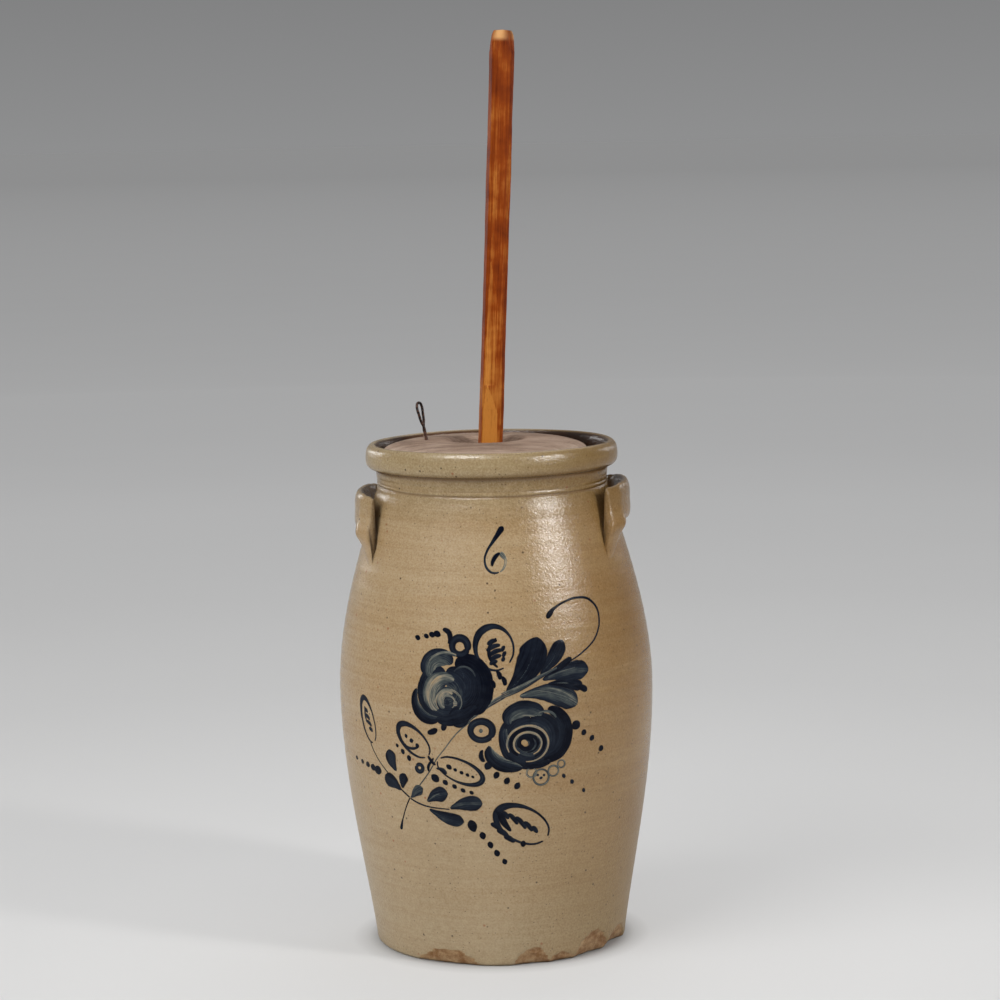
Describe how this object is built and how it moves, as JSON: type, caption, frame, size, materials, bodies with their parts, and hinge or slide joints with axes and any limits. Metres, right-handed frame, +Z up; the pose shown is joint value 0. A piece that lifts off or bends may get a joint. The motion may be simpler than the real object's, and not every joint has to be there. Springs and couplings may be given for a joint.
{
  "type": "butter churn",
  "caption": "Stoneware dasher churn: a barrel-shaped crock with two lug handles, a lift-off wooden lid with a wire eye, and a hewn staff that plunges a wooden cross.",
  "frame": {"origin": "centre of the crock's foot, on the surface it stands on", "axes": "+Z up along the crock's axis; +X towards one lug handle, the side the staff leans to; -Y out of the painted front"},
  "size_m": [0.3024, 0.3024, 0.8716],
  "materials": {
    "stoneware": "salt glaze, glossy and finely pitted",
    "lid_wood": "weathered, bare and dry",
    "staff_wood": "hand-rubbed, satin",
    "cross_wood": "scrubbed, bare and dry",
    "iron_wire": "dark, rusted at the foot"
  },
  "bodies": {
    "crock": {"crock": "stoneware", "left_lug_handle": "stoneware", "right_lug_handle": "stoneware"},
    "lid": {"lid": "lid_wood", "lid_lift_wire": "iron_wire"},
    "dasher": {"dasher_staff": "staff_wood", "cross_arm_lower": "cross_wood", "cross_arm_upper": "cross_wood", "tenon_wedge": "cross_wood", "lap_pegs": "staff_wood"}
  },
  "joints": [
    {"name": "dasher_plunge", "type": "slide", "parent": "crock", "child": "dasher", "axis": [0.0503, 0, 0.9987], "range_m": [0, 0.41]},
    {"name": "lid_lift", "type": "slide", "parent": "crock", "child": "lid", "axis": [0.0503, 0, 0.9987], "range_m": [0, 0.43]}
  ]
}
